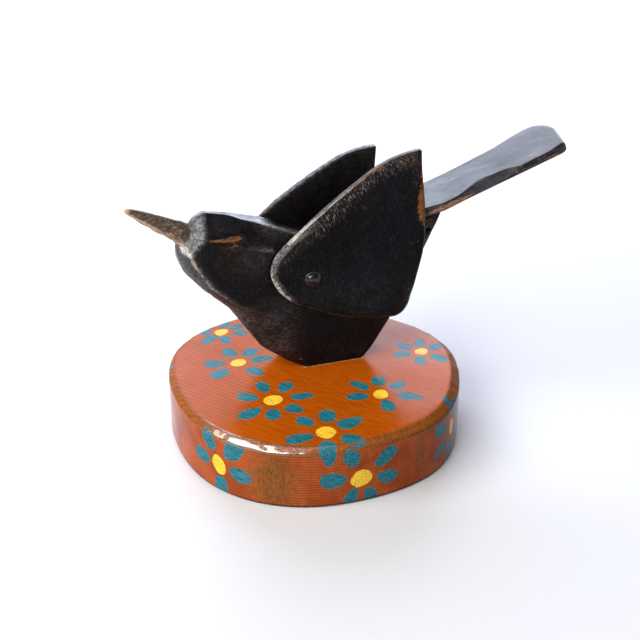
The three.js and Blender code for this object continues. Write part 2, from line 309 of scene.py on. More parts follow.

# %% [markdown]
# ## Gloss black paint over wood
#
# The black is thick gloss paint. It is rubbed to a brown film on the breast and gone from the
# ridges, where the bare wood shows from dark brown to orange. Each piece carries three marks on its
# points: `wear` for bare wood, `rub` for the brown film and `scored` for rasp marks. Noise breaks
# up their borders, so no mark ends in a clean line. On the body's back and face and on the wing's
# nose, some of the pale film and pale wood is painted sheen and painted highlight, and the rasp
# strokes are painted pale as glints.

# %% The black finish
def black_paint(name, grain_turn, grain_stretch, shine, dusty, knobs):
    material, tree, shader = finish(name)
    where = place(tree)
    fine = speckle(tree, place(tree, grain_turn, grain_stretch), 0.45, 4.0, 0.65)
    ragged = maths(tree, "SUBTRACT", speckle(tree, where, 1.3, 5.0, 0.65), 0.5)
    mottled = band(tree, speckle(tree, place(tree, grain_turn, (1 / 2, 1, 1)), 0.9, 5.0, 0.75), 0.42, 0.58)
    pale = mark(tree, "pale")
    # Where the paint is gone, and where it is rubbed thin
    worn = band(tree, maths(tree, "ADD", mark(tree, "wear"), maths(tree, "MULTIPLY", ragged, 0.8)), 0.46, 0.6)
    strands = maths(tree, "ADD", maths(tree, "MULTIPLY", band(tree, fine, 0.38, 0.62), 0.5), maths(tree, "MULTIPLY", mottled, 0.6))
    thin = maths(tree, "MULTIPLY", mark(tree, "rub"), strands)
    # Colours of the wood, the thin film and the paint. The pale grey film is worn greyish paint in some
    # places, and painted sheen and painted highlight on the body's back and face
    orange_wood = mixed(tree, band(tree, fine, 0.3, 0.7), (0.040, 0.015, 0.007, 1), (0.29, 0.108, 0.032, 1))
    tan_wood = mixed(tree, band(tree, fine, 0.3, 0.7), (0.11, 0.10, 0.085, 1), (0.62, 0.57, 0.49, 1))
    film_and_sheen = mixed(tree, pale, (0.062, 0.038, 0.028, 1), (0.158, 0.160, 0.162, 1))
    patches = band(tree, speckle(tree, where, 11.0, 2.0), 0.35, 0.65)
    paint = mixed(tree, patches, (0.0030, 0.0022, 0.0020, 1), (0.0040, 0.0040, 0.0064, 1))
    coloured = mixed(tree, maths(tree, "MINIMUM", thin, 1.0), paint, film_and_sheen)
    # White flecks, and the strokes of the rasp painted pale grey: painted glints on their upper facets
    crowds = band(tree, speckle(tree, where, 7.0, 2.0), 0.42, 0.62)
    flecks = maths(tree, "MULTIPLY", band(tree, speckle(tree, where, 0.36, 2.0, 0.7), 0.67, 0.73), crowds)
    coloured = mixed(tree, maths(tree, "MULTIPLY", flecks, dusty), coloured, (0.30, 0.28, 0.26, 1))
    rasped = speckle(tree, place(tree, (0, math.radians(14), 0), (1, 1, 1 / 5)), 0.42, 2.0, 0.6)
    rasp_glints = maths(tree, "MULTIPLY", mark(tree, "scored"), band(tree, rasped, 0.54, 0.66))
    coloured = mixed(tree, maths(tree, "MULTIPLY", rasp_glints, 0.7), coloured, (0.26, 0.245, 0.23, 1))
    coloured = mixed(tree, worn, coloured, mixed(tree, pale, orange_wood, tan_wood))
    tree.links.new(coloured, shader.inputs["Base Color"])
    # Gloss: the paint mirrors little when seen from the front, the handled edges more
    gloss = node(tree, "MapRange", speckle(tree, where, 2.4, 4.0, 0.6), 0.3, 0.7, 0.31 - 0.2 * dusty, 0.31 + 0.2 * dusty)
    tree.links.new(maths(tree, "MAXIMUM", gloss, maths(tree, "MULTIPLY", worn, 0.45)), shader.inputs["Roughness"])
    level = node(tree, "MapRange", speckle(tree, where, 16.0, 2.0), 0.35, 0.65, shine * 0.75, shine * 1.25)
    level = maths(tree, "MULTIPLY", level, node(tree, "MapRange", fine, 0.35, 0.65, 0.78, 1.14))
    polish = maths(tree, "MULTIPLY", pale, node(tree, "MapRange", mottled, 0.0, 1.0, 0.5 - 0.55 * knobs, 1.0))
    tree.links.new(maths(tree, "ADD", level, polish), shader.inputs["Specular IOR Level"])
    # Relief
    combed = roughened(tree, None, fine, 0.07)
    pitted = roughened(tree, None, speckle(tree, where, 0.7, 4.0, 0.7), 0.11, below=combed)
    knobbly = roughened(tree, None, maths(tree, "MULTIPLY", pale, speckle(tree, where, 1.2, 3.0, 0.6)), knobs, below=pitted)
    roughened(tree, shader, maths(tree, "MULTIPLY", mark(tree, "scored"), rasped), 0.8, below=knobbly)
    return material


body_black = black_paint("body_black", (0, 0, 0), (1 / 4, 1, 1), 0.12, 0.45, 0.35)
tail_black = black_paint("tail_black", (0, math.radians(20.6), 0), (1 / 6, 1, 1), 0.34, 0.1, 0.7)
wing_black = black_paint("wing_black", (0, math.radians(40), 0), (1 / 6, 1, 1), 0.07, 0.7, 0.7)

# %% [markdown]
# ## The body
#
# Head, breast, back and foot are one board seen from the side. Five guides go round its outline:
# the left ridge where the flat side ends, the two edges of the narrow rim, and the right ridge.
# The face is the one place where two cuts meet in a ridge. Rows of points run from the middle of
# the left side, over the ridge and rim, to the middle of the right side.

# %% Guides round the bird's outline
BIRD_BACK = 12.3
CROWN, CHIN = (-37.3, 87.6), (-47.9, 77.2)
VALLEY = (15.0, 70.3)
TAIL_RISE, TAIL_THICK, GAP = 0.375, 3.1, 0.3
TAIL_ANGLE = math.atan(TAIL_RISE)
SEAT_X = VALLEY[0] + (TAIL_THICK + GAP) * math.sin(TAIL_ANGLE)


def seat_z(x):
    return VALLEY[1] - (TAIL_THICK + GAP) / math.cos(TAIL_ANGLE) + TAIL_RISE * (x - VALLEY[0])


def side_y(z):
    return 10.2 - 0.04 * (z - 24)


# Each station is rim x, rim z, half width of the rim, ridge x, ridge z
STATIONS = np.array([
    [*CROWN, 0.9, -38.7, 80.0],
    [-28.9, 86.0, 2.0, -30.5, 78.0],
    [-23.7, 84.2, 3.5, -24.5, 75.2],
    [-16.7, 81.9, 5.0, -17.5, 73.2],
    [*VALLEY, 7.6, 14.4, 68.6],
    [SEAT_X, seat_z(SEAT_X), 8.0, SEAT_X, seat_z(SEAT_X) - 0.8],
    [51.6, seat_z(51.6), 7.8, 50.9, seat_z(51.6) - 0.9],
    [31.4, 38.9, 8.6, 30.2, 39.6],
    [24.0, 27.8, 9.0, 22.9, 28.6],
    [19.8, 24.0, 9.6, 19.2, 24.8],
    [-2.5, 24.0, 9.5, -1.9, 24.8],
    [-8.8, 26.3, 7.3, -5.4, 28.9],
    [-18.8, 33.6, 6.5, -11.0, 37.8],
    [-25.3, 43.2, 5.8, -17.0, 47.8],
    [-30.5, 51.2, 5.5, -28.0, 52.9],
    [-39.4, 59.3, 5.0, -37.4, 61.6],
    [-46.0, 66.8, 4.0, -41.8, 68.9],
    [-47.6, 71.3, 2.3, -43.4, 72.0],
    [*CHIN, 0.9, -44.9, 74.4],
])


def round_outline(stations, columns):
    """Stations joined by straight lines and shared out evenly by distance along the rim."""
    loop = np.vstack([stations, stations[:1]])
    reach = np.concatenate([[0], np.cumsum(np.linalg.norm(np.diff(loop[:, :2], axis=0), axis=1))])
    where = np.linspace(0, reach[-1], columns, endpoint=False)
    return np.stack([np.interp(where, reach, loop[:, i]) for i in range(loop.shape[1])], -1)


rim_x, rim_z, rim_half, ridge_x, ridge_z = round_outline(STATIONS, 440).T
print("outline of the body:", len(rim_x), "points")

# %% The body's rows, with its knife cuts and dents
BODY_STEPS = [46, 12, 14, 12, 46]
middle = np.array([0.0, 0.0, 58.0])
left_middle, right_middle = (np.broadcast_to(middle + [0, s * side_y(58), 0], (440, 3)) for s in (-1, 1))
guides = [
    left_middle,
    np.stack([ridge_x, -side_y(ridge_z), ridge_z], -1),
    np.stack([rim_x, -rim_half, rim_z], -1),
    np.stack([rim_x, rim_half, rim_z], -1),
    np.stack([ridge_x, side_y(ridge_z), ridge_z], -1),
    right_middle,
]
rows = handled(carried(guides, BODY_STEPS)[1:-1], 3)
normal = facing(rows)
x, y, z = np.moveaxis(rows, -1, 0)
rim_row = along([0, 0, 1, 1, 0, 0], BODY_STEPS)[1:-1, None] * np.ones_like(x)
row = np.arange(1, sum(BODY_STEPS))[:, None] * np.ones_like(x)
to_ridge = np.minimum(np.abs(row - BODY_STEPS[0]), np.abs(row - sum(BODY_STEPS) + BODY_STEPS[0]))
near = y < -2


def face_plane(side):
    """A face cut through the crown, the chin and the outer ridge: its normal and its distance."""
    crown = np.array([CROWN[0], side * 0.9, CROWN[1]])
    chin = np.array([CHIN[0], side * 0.9, CHIN[1]])
    outer = np.array([-38.7, side * side_y(80.0), 80.0])
    across = np.cross(crown - chin, outer - chin)
    across = across / np.linalg.norm(across) * -np.sign(across[0])
    return across, across @ chin


face = np.zeros_like(x)
for side in (-1, 1):
    across, distance = face_plane(side)
    face = np.maximum(face, np.clip(1.6 + 1.6 * (rows @ across - distance), 0, 1) * (y * side > 0))
brow = np.clip((-14 - x) / 8, 0, 1) * np.clip((z - 78) / 4, 0, 1)
nick_high = z - 78.7 + 0.075 * (x + 28)
nick_wide = 0.36 + 0.035 * np.clip(x + 39, 0, 16)
nick = np.clip((x + 39.2) / 2, 0, 1) * np.clip((-23 - x) / 3, 0, 1) * np.exp(-((nick_high / nick_wide) ** 2)) * near
nail_hole = spot(x, z, (45.9, 72.6), (0.8, 0.9)) * (y < -5)
chips = np.clip(waves(rows, 2.2, 7) * waves(rows, 5.5, 8), 0, 1)
height = (
    0.20 * waves(rows, 11, 2)
    + 0.06 * waves(rows, 2.6, 3)
    + 0.22 * (face + 0.6 * brow) * waves(rows, 3.4, 4)
    - 0.5 * chips * np.clip(face + brow + rim_row, 0, 1)
    + 1.5 * spot(x, z, (-41.0, 85.0), (3.4, 3.4))
    - 0.7 * nick
    - 2.2 * nail_hole
)
on_base = np.clip((z - 24) / 2.0, 0, 1)
rows = rows + normal * (height * on_base)[..., None]

# %% [markdown]
# Where a ridge has been handled, bare wood shows. The marks follow the distance to a ridge, and
# soft patches make them stronger on the throat, at the nick in the cheek and round the foot. A pale
# film along the back's near edge is painted sheen, and pale patches on the face are partly painted
# highlight.

# %% Wear, painted sheen and painted highlights on the body
ridge_line = np.exp(-((to_ridge / 1.6) ** 2))
throat = np.clip((76 - z) / 4, 0, 1) * np.clip((z - 46) / 12, 0, 1) * (x < -14)
front = np.clip((76 - z) / 4, 0, 1) * np.clip((z - 42) / 10, 0, 1) * rim_row * (x < -14)
# The face's lower corner is worn to pale bare wood, and that pale patch is also a painted highlight
corner = spot(x, z, (-45.6, 76.0), (1.7, 1.7)) * near
breast = np.clip((56 - z) / 8, 0, 1) * np.clip((z - 25) / 8, 0, 1) * np.clip((0 - x) / 10, 0, 1)
rump = spot(x, z, (45.0, 71.5), (6.0, 5.0))
# Painted sheen: a pale grey film along the back's near edge, where the glossy back would mirror the windows behind
painted_back_sheen = rim_row**2 * (z > 68) * np.clip((x + 21) / 5, 0, 1) * np.clip((8 - x) / 8, 0, 1) * np.clip((1 - y) / 3, 0, 1)
painted_rim_sheen = np.clip(row - 57, 0, 1) * np.clip((62.5 - row) / 2, 0, 1) * (z > 68)
painted_rim_sheen = painted_rim_sheen * np.clip((x + 16) / 6, 0, 1) * np.clip((6 - x) / 8, 0, 1)
wear = (
    0.38 * ridge_line * throat
    + 0.18 * ridge_line
    + 0.68 * nick * np.clip((x + 39) / 3, 0.5, 1)
    + 0.50 * spot(x, z, (-28.5, 78.9), (3.8, 0.8)) * near
    + 0.57 * spot(x, z, (-29.2, 76.3), (3.4, 1.2)) * near
    + 0.40 * spot(x, z, (-29.0, 68.4), (1.6, 0.4)) * near
    + 0.85 * corner
    # painted highlight: a pale strip of bare wood along the face's right edge
    + 0.50 * spot(x, z, (-39.2, 83.0), (0.9, 2.6)) * near
    + 0.44 * spot(x, z, (-43.2, 72.6), (1.2, 2.0)) * near
    + 0.42 * spot(x, z, (-4.8, 27.8), (4.0, 1.0))
    + 0.38 * spot(x, z, (-7.0, 35.0), (3.0, 1.2))
)
rub = (
    # on the face the pale grey film is partly greyish worn paint and partly painted highlight
    0.30 * face
    + 0.9 * corner
    + 0.95 * front
    + 0.8 * np.exp(-((to_ridge / 2.6) ** 2)) * throat
    + 0.70 * breast * np.clip(0.45 + 0.5 * waves(rows, 5, 9), 0, 1)
    + 0.5 * breast * rim_row
    + 0.12 * np.clip((38 - z) / 10, 0, 1)
    + 0.55 * nick
    + 0.5 * spot(x, z, (-29.0, 76.0), (5.0, 1.7)) * near
    + 0.6 * painted_back_sheen
    + 0.7 * painted_rim_sheen
    + 0.24 * brow * near * (1 - rim_row)
    + 0.30 * spot(x, z, (-24, 70), (9, 5)) * near
    + 0.45 * rump
)
pale = np.clip(1.0 * face + corner + 0.75 * front + 0.8 * throat * ridge_line + 0.18 * breast + 0.5 * rump + 0.3 * painted_back_sheen + painted_rim_sheen + 0.12 * brow, 0, 1)
scored = 0.04 + 0.18 * face + 0.12 * spot(x, z, (-22, 70), (9, 6))
hidden_paint = nail_hole > 0.3
wear, rub, pale = (np.where(hidden_paint, 0, amount) for amount in (wear, rub, pale))
rows[..., 1] += BIRD_BACK
marks = {"wear": wear, "rub": rub, "pale": pale, "scored": scored}
skin("whittled_body", rows, marks, body_black, "body")

# %% [markdown]
# ## The wings
#
# Each wing is a thin board with a rasped band along its leading edge. Its outline is a chain of
# smooth bends measured from its nail. The same outline makes both wings: the right one is smaller,
# and its frame is a mirror image.

# %% A wing's outline
def bend(start, pull, end):
    """A quadratic curve: (1 - t)^2 start + 2 t (1 - t) pull + t^2 end."""
    t = (np.arange(40) / 40)[:, None]
    return (1 - t) ** 2 * np.array(start) + 2 * t * (1 - t) * np.array(pull) + t * t * np.array(end)


WING_BENDS = [
    ((41.8, 43.5), (33, 42.6), (26.5, 39.3)),
    ((26.5, 39.3), (18, 34.6), (5.7, 25.2)),
    ((5.7, 25.2), (-1.2, 19.9), (-9.4, 12.5)),
    ((-9.4, 12.5), (-17.2, 5.2), (-13.6, -1.6)),
    ((-13.6, -1.6), (-11.2, -7.3), (-5, -10.4)),
    ((-5, -10.4), (2.5, -13.65), (10, -16.9)),
    ((10, -16.9), (18, -19.2), (31.4, -20.2)),
    ((31.4, -20.2), (36, -19.8), (37.8, -14.2)),
    ((37.8, -14.2), (40.2, -4.9), (42.6, 4.4)),
    ((42.6, 4.4), (44.4, 17), (42.2, 32.3)),
    ((42.2, 32.3), (42.0, 37.9), (41.8, 43.5)),
]
WING_THICK = 4.0


def evenly(outline, columns):
    """The closed outline again, as points at equal distances along it."""
    loop = np.vstack([outline, outline[:1]])
    reach = np.concatenate([[0], np.cumsum(np.linalg.norm(np.diff(loop, axis=0), axis=1))])
    where = np.linspace(0, reach[-1], columns, endpoint=False)
    return np.stack([np.interp(where, reach, loop[:, i]) for i in (0, 1)], -1)


def inset(outline, by, centre):
    """Each point moved towards the centre by that many mm."""
    inward = centre - outline
    return outline + inward / np.linalg.norm(inward, axis=1, keepdims=True) * np.reshape(by, (-1, 1))


def lifted(flat, height):
    return np.concatenate([flat, np.broadcast_to(np.reshape(height, (-1, 1)), (len(flat), 1))], 1)


wing_outline = evenly(np.vstack([bend(*points) for points in WING_BENDS]), 460)
print("wing outline spans", np.round(np.ptp(wing_outline, axis=0), 1), "mm")


# %% A wing's frame: rear, up and out at its nail
def wing_frame(side, nail_x, nail_z, turn, bears_x, bears_z):
    """The wing closes 3 degrees towards its partner at the top and opens 2 degrees towards the rear,
    so that it bears on the body at one point of the ridge."""
    lean, spread, turn = math.radians(3), math.radians(2), math.radians(turn)
    rear = np.array([math.cos(spread), side * math.sin(spread), 0])
    level = np.array([-math.sin(spread), side * math.cos(spread), 0])
    out = level * math.cos(lean) + [0, 0, math.sin(lean)]
    up = -level * math.sin(lean) + [0, 0, math.cos(lean)]
    off = side_y(bears_z) + GAP + math.tan(lean) * (bears_z - nail_z) + math.tan(spread) * (nail_x - bears_x)
    u = rear * math.cos(turn) + up * math.sin(turn)
    v = up * math.cos(turn) - rear * math.sin(turn)
    return np.array([nail_x, side * off + BIRD_BACK, nail_z]), np.array([u, v, out])


LEFT = wing_frame(-1, -0.9, 62.1, 0, -12, 72.6)
RIGHT = wing_frame(1, -11.5, 62.5, -4, -20, 74)

# %% A wing's surface and wear
WING_STEPS = [54, 12, 3, 8, 3, 54]


def wing(name, spot_frame, scale, node_name, seed, age):
    """Rows from the middle of the outer face, over the rasped band and the edge, to the middle of the
    inner face. The band falls away evenly to the edge, and steeply round the wing's front."""
    centre = np.array([17.0, 6.0])
    edge = wing_outline
    u, v = edge.T
    leading = np.clip((u * 0.3 + v + 4) / 8, 0, 1) * np.where(v > 34, 1, np.clip((36 - u) / 4, 0, 1))
    nose = np.clip((3 - u) / 9, 0, 1) * np.clip((v + 10.5) / 3, 0, 1)
    under = np.clip((-8 - v) / 4, 0, 1)
    drop = 0.35 + 0.7 * leading + 1.3 * nose + 0.7 * under
    wide = 1.2 + 3.2 * leading * (1 - nose) + (0.5 + 1.1 * np.clip((4 - v) / 5, 0, 1)) * nose + 0.3 * under
    faces = [
        lifted(np.broadcast_to(centre, edge.shape), WING_THICK),
        lifted(inset(edge, wide, centre), WING_THICK),
        lifted(inset(edge, 0.3, centre), WING_THICK - drop),
        lifted(edge, WING_THICK - drop - 0.4),
        lifted(edge, 0.5),
        lifted(inset(edge, 0.6, centre), 0.0),
        lifted(np.broadcast_to(centre, edge.shape), 0.0),
    ]
    rows = handled(carried(faces, WING_STEPS)[1:-1], 2)
    u, v, w = np.moveaxis(rows, -1, 0)
    depth = np.hypot(u - edge[:, 0], v - edge[:, 1])
    outer = along([1, 1, 1, 0.4, 0, 0, 0], WING_STEPS)[1:-1, None]
    bevel = along([0, 0, 1, 1, 0, 0, 0], WING_STEPS)[1:-1, None] ** 0.5
    on_edge = along([0, 0.1, 0.8, 1, 1, 0.8, 0], WING_STEPS)[1:-1, None] ** 2
    band = leading * outer * np.clip((7.5 - depth) / 3, 0, 1)
    knob = spot(u, v, (19.8, 24.8), (0.9, 0.7)) * outer
    height = 0.12 * waves(rows, 13, seed + 1) + 0.04 * waves(rows, 2.5, seed + 2) + 0.45 * knob
    height = height + band * (0.16 * waves(rows * [1, 0.5, 1], 1.4, seed + 3))
    outward = facing(rows)
    outward = outward * np.sign(outward[10, :, 2].mean())
    rows = rows + outward * (height * np.where(w < 0.3, 0.2, 1.0))[..., None]
    # Round the nose the paint is worn to pale wood; on its upper part that pale speckle is also a painted highlight
    front = bevel * nose
    upper = leading * np.clip((u + 9) / 4, 0, 1) * np.clip((28 - u) / 3, 0, 1) * np.clip((0.95 - depth) / 0.6, 0, 1) * outer
    wear = (
        0.16 * on_edge
        + age * (
            1.2 * np.clip(outer + bevel, 0, 1) * spot(u, v, (44.4, 24.0), (4.7, 10.0))
            + 0.34 * on_edge * (u > 38)
            + 0.62 * upper
            + 0.60 * front * np.clip((6 - v) / 6, 0.68, 1)
            + 0.60 * outer * spot(u, v, (25.6, 38.0), (3.0, 1.3))
            + 0.45 * outer * spot(u, v, (37.4, -14.5), (1.3, 3.0))
            + 0.14 * (on_edge + bevel * outer) * under
            + 0.50 * knob * (v > 24.8)
        )
    )
    rub = (
        0.55 * outer * spot(u, v, (38, 41), (9, 3.2))
        + 0.6 * front
        + 0.35 * on_edge * leading
        + 0.6 * (on_edge + bevel) * under
        + 0.25 * band
        + 0.6 * outer * spot(u, v, (37.2, -12.5), (1.6, 4.5))
    )
    bluish = 0.14 * outer * spot(u, v, (14.0, -10.0), (22.0, 9.0))
    pale = np.clip(bluish + front + upper * np.clip((22 - u) / 16, 0, 1) + 0.5 * knob + 0.8 * on_edge * leading * (1 - age), 0, 1)
    scored = np.clip(band * np.clip((u + 2) / 8, 0.25, 1) * np.clip((41 - u) / 7, 0, 1) + 0.04, 0, 1) * (0.35 + 0.65 * age)
    origin, axes = spot_frame
    marks = {"wear": wear, "rub": rub, "pale": pale, "scored": scored}
    return skin(name, origin + (rows * [scale, scale, 1]) @ axes, marks, wing_black, node_name)


wing("whittled_wing_left", LEFT, 1.0, "wing_left", 11, 1.0)
wing("whittled_wing_right", RIGHT, 0.96, "wing_right", 31, 0.3)

# %% [markdown]
# ## The tail
#
# The tail is one flat board on the rump. Its left edge was taken down with a few long knife cuts,
# and each cut is written as a slope: from an inner line on the top down to the lower edge.

# %% The tail's outline and cuts
TAIL_LENGTH, TAIL_SKEW = 92.5, 3.8
TAIL_BENDS = [
    ((0, -8.6), (14, -8.6), (28, -8.6)),
    ((28, -8.6), (33, -9.6), (37, -11.1)),
    ((37, -11.1), (60, -11.2), (86.4, -12.0)),
    ((86.4, -12.0), (88.7, -12.0), (89.1, -10.2)),
    ((89.1, -10.2), (90.9, -2.5), (92.1, 4.6)),
    ((92.1, 4.6), (91.4, 13.2), (84.0, 13.1)),
    ((84.0, 13.1), (78, 12.7), (71, 11.0)),
    ((71, 11.0), (64, 10.3), (37, 11.1)),
    ((37, 11.1), (32, 10.0), (28, 8.6)),
    ((28, 8.6), (14, 8.6), (0, 8.6)),
    ((0, 8.6), (0, 0), (0, -8.6)),
]
TAIL_STEPS = [44, 4, 9, 4, 44]
tail_outline = evenly(np.vstack([bend(*points) for points in TAIL_BENDS]), 640)
centre = np.array([46.0, 0.0])
tail_rings = [
    lifted(np.broadcast_to(centre, tail_outline.shape), TAIL_THICK),
    lifted(inset(tail_outline, 0.7, centre), TAIL_THICK),
    lifted(tail_outline, TAIL_THICK - 0.5),
    lifted(tail_outline, 0.5),
    lifted(inset(tail_outline, 0.7, centre), 0.0),
    lifted(np.broadcast_to(centre, tail_outline.shape), 0.0),
]
rows = handled(carried(tail_rings, TAIL_STEPS)[1:-1], 3)
x, y, z = np.moveaxis(rows, -1, 0)
left_edge = np.interp(x, [0, 28, 37, 88.7], [-8.6, -8.6, -10.8, -11.8])
inward = y - left_edge
cut_reach = np.interp(x, [26, 31, 38, 43, 54, 59, 64.5, 70.5, 74, 84, 88.5], [0, 1.6, 0.2, 0, 4.6, 3.9, 3.2, 0, 0.3, 0.6, 2.2])
cut_reach = np.maximum(cut_reach + 0.25 * waves(rows, 4, 41) * (cut_reach > 0.3), 0.01)
floor_z = 1.1 + 0.25 * waves(rows, 7, 42)
cut_z = floor_z + (TAIL_THICK - floor_z) * np.clip(inward / cut_reach, 0, 5)
cut_depth = np.clip(z - cut_z, 0, None) * (z > 1.0)
rows[..., 2] = z - cut_depth
normal = facing(rows)
height = 0.13 * waves(rows, 9, 43) + 0.04 * waves(rows, 2.0, 44)
rows[..., 2] += height * np.where(z < 0.5, 0.3, 1.0) * np.sign(z - TAIL_THICK / 2)

# %% Wear on the tail, and its place on the rump
on_edge = along([0, 0.1, 0.9, 1, 0.45, 0], TAIL_STEPS)[1:-1, None] ** 2 * np.ones_like(x)
top = z > TAIL_THICK / 2
left = np.clip(1 - inward / 3, 0, 1)
cut = np.clip(cut_depth * 3, 0, 1)
wear = (
    0.16 * on_edge
    + (0.45 * cut + 0.6 * on_edge) * left * (
        1.5 * spot(x, y, (42.0, -10.8), (7.5, 4))
        + 0.7 * spot(x, y, (60, -10.0), (2.2, 2))
        + 0.75 * spot(x, y, (82.5, -12.0), (5, 2))
        + 0.7 * spot(x, y, (33, -9), (4, 2))
    )
    + 0.51 * top * (1 - cut) * (
        1.15 * spot(x, y, (29, 4.5), (7, 2.4)) + spot(x, y, (47, 3), (6, 1.4)) + spot(x, y, (76, -7), (5, 1.3))
    )
)
rub = 0.2 * on_edge + 0.30 * left * (on_edge + cut) + 0.10 * top * np.clip(waves(rows, 8, 45), 0, 1)
rub = rub + 0.55 * top * (1 - cut) * (spot(x, y, (46, 6.5), (14, 2.6)) + spot(x, y, (74, -8.0), (9, 1.8)))
pale = 0.35 * np.clip(waves(rows, 6, 46) + 0.2, 0, 1) * cut
scored = 0.02 + 0.25 * cut
lying = rows + [GAP, 0, GAP]
c, s = math.cos(TAIL_ANGLE), math.sin(TAIL_ANGLE)
raised = np.stack([lying[..., 0] * c - lying[..., 2] * s, lying[..., 1], lying[..., 0] * s + lying[..., 2] * c], -1)
raised = raised + [SEAT_X, BIRD_BACK, seat_z(SEAT_X)]
marks = {"wear": wear, "rub": rub, "pale": pale, "scored": scored}
skin("whittled_tail", raised, marks, tail_black, "tail")

# %% [markdown]
# ## The nails
#
# A round-headed nail holds each wing. Paint has gathered round the head in a low collar. The
# profile is turned once round its axis: a point, the shank, the collar and the dome.

# %% Nails
nail_material, tree, shader = finish("painted_nail")
where = place(tree)
tree.links.new(
    mixed(tree, band(tree, speckle(tree, where, 0.8, 4.0), 0.45, 0.7), (0.004, 0.004, 0.004, 1), (0.014, 0.011, 0.009, 1)),
    shader.inputs["Base Color"],
)
tree.links.new(node(tree, "MapRange", speckle(tree, where, 0.5), 0.3, 0.7, 0.08, 0.22), shader.inputs["Roughness"])
shader.inputs["Specular IOR Level"].default_value = 0.2
shader.inputs["Coat Weight"].default_value = 0.38
shader.inputs["Coat IOR"].default_value = 1.8
shader.inputs["Coat Roughness"].default_value = 0.03
roughened(tree, shader, speckle(tree, where, 0.4, 3.0), 0.08)


def nail(name, spot_frame, node_name):
    """A turned profile of radius and height, taken round the nail's axis in 72 steps."""
    dome = np.linspace(0, math.pi / 2, 16)[1:]
    profile = np.vstack([
        [(0.05, -11), (0.8, -10), (0.8, 0), (2.5, 0), (2.84, 0.12), (2.88, 0.28), (2.7, 0.42), (2.4, 0.44), (2.16, 0.5)],
        np.stack([2.1 * np.cos(dome) + 0.001, 0.55 + 1.25 * np.sin(dome)], -1),
    ])
    t = np.linspace(0, len(profile) - 1, 3 * len(profile))
    radius, height = (np.interp(t, np.arange(len(profile)), profile[:, i]) for i in (0, 1))
    angle = np.arange(72) * math.tau / 72
    lump = 1 + 0.03 * np.sin(2 * angle + 1) + 0.02 * np.sin(5 * angle)
    local = np.stack([
        radius[:, None] * lump * np.cos(angle),
        radius[:, None] * lump * np.sin(angle),
        np.repeat(height[:, None] + WING_THICK + 0.05, 72, 1),
    ], -1)
    origin, axes = spot_frame
    return skin(name, origin + local @ axes, {}, nail_material, node_name)


nail("nail_left", LEFT, "pin_left")
nail("nail_right", RIGHT, "pin_right")

# %% [markdown]
# ## The thorn beak
#
# The beak is a dry thorn with the bark's ridges still on it. It is a row of ovals that shrink and
# droop towards the tip. Its root runs up to the two cuts of the face: each line along the thorn
# stops where it meets the nearer face plane.

# %% The thorn
BEAK_LENGTH, BEAK_SUNK, BEAK_ROOT = 22.8, 4.0, np.array([-45.0, 0, 80.4])
TILT = math.radians(31.5)


columns = 160
angle = np.arange(columns) * math.tau / columns
t = np.linspace(0, 1, 110)[:, None]
width = np.power(1 - t, 0.7) + 0.13 * t
ridges = 1 + 0.05 * np.cos(3 * angle + 0.6) * (1 - t) + 0.02 * np.sin(9 * angle + 4 * t)
local = np.stack([
    (BEAK_LENGTH + BEAK_SUNK) * t * np.ones(columns) - BEAK_SUNK,
    3.75 * width * ridges * np.cos(angle),
    4.35 * width * ridges * np.sin(angle) - 0.7 * t * t,
], -1)
bark = waves(local * [0.6, 1, 1], 1.5, 52) + 0.6 * waves(local * [0.7, 1, 1], 0.7, 53)
local[..., 1:] *= (1 + 0.05 * waves(local, 3.0, 51) + 0.055 * bark)[..., None]
forward = np.array([-math.cos(TILT), 0, math.sin(TILT)])
upward = np.array([math.sin(TILT), 0, math.cos(TILT)])
points = BEAK_ROOT + local[..., :1] * forward + local[..., 1:2] * np.array([0, -1, 0]) + local[..., 2:] * upward
for side in (-1, 1):
    plane, distance = face_plane(side)
    short = (distance + 0.1) - points @ plane
    reach = np.clip(short / (forward @ plane), 0, None) * (points[..., 1] * side > 0)
    points = points + reach[..., None] * forward
keel = np.exp(-(((angle - 5.35 - 0.3 * t) / 0.36) ** 2))
root = np.clip((4 - local[..., 0]) / 4, 0, 1)
bark = 0.45 * bark + 1.2 * keel * np.clip(local[..., 0] / 9, 0.3, 1) + 0.9 * root * np.exp(-(((angle - 4.9) / 0.7) ** 2))
pale_tip = np.clip((t - 0.93) / 0.05, 0, 1) * np.ones(columns)
points[..., 1] += BIRD_BACK

# %% The thorn's bark
thorn_material, tree, shader = finish("dry_thorn")
where = place(tree)
fibre = speckle(tree, place(tree, (0, TILT, 0), (1 / 5, 1, 1)), 0.6, 5.0, 0.7)
grit = speckle(tree, where, 0.6, 4.0, 0.7)
hollows = mixed(tree, band(tree, fibre, 0.38, 0.66), (0.026, 0.014, 0.009, 1), (0.18, 0.108, 0.070, 1))
crests = mixed(tree, band(tree, grit, 0.3, 0.7), (0.25, 0.155, 0.09, 1), (0.62, 0.45, 0.28, 1))
raised_bark = band(tree, maths(tree, "ADD", mark(tree, "bark"), maths(tree, "MULTIPLY", maths(tree, "SUBTRACT", grit, 0.5), 2.2)), 0.15, 0.85)
thorn_colour = mixed(tree, raised_bark, hollows, crests)
tree.links.new(mixed(tree, mark(tree, "pale"), thorn_colour, (0.5, 0.34, 0.2, 1)), shader.inputs["Base Color"])
tree.links.new(node(tree, "MapRange", fibre, 0.3, 0.7, 0.5, 0.8), shader.inputs["Roughness"])
rugged = roughened(tree, None, grit, 0.35)
roughened(tree, shader, fibre, 0.5, below=rugged)
skin("thorn_beak", points, {"bark": bark, "pale": pale_tip}, thorn_material, "beak")

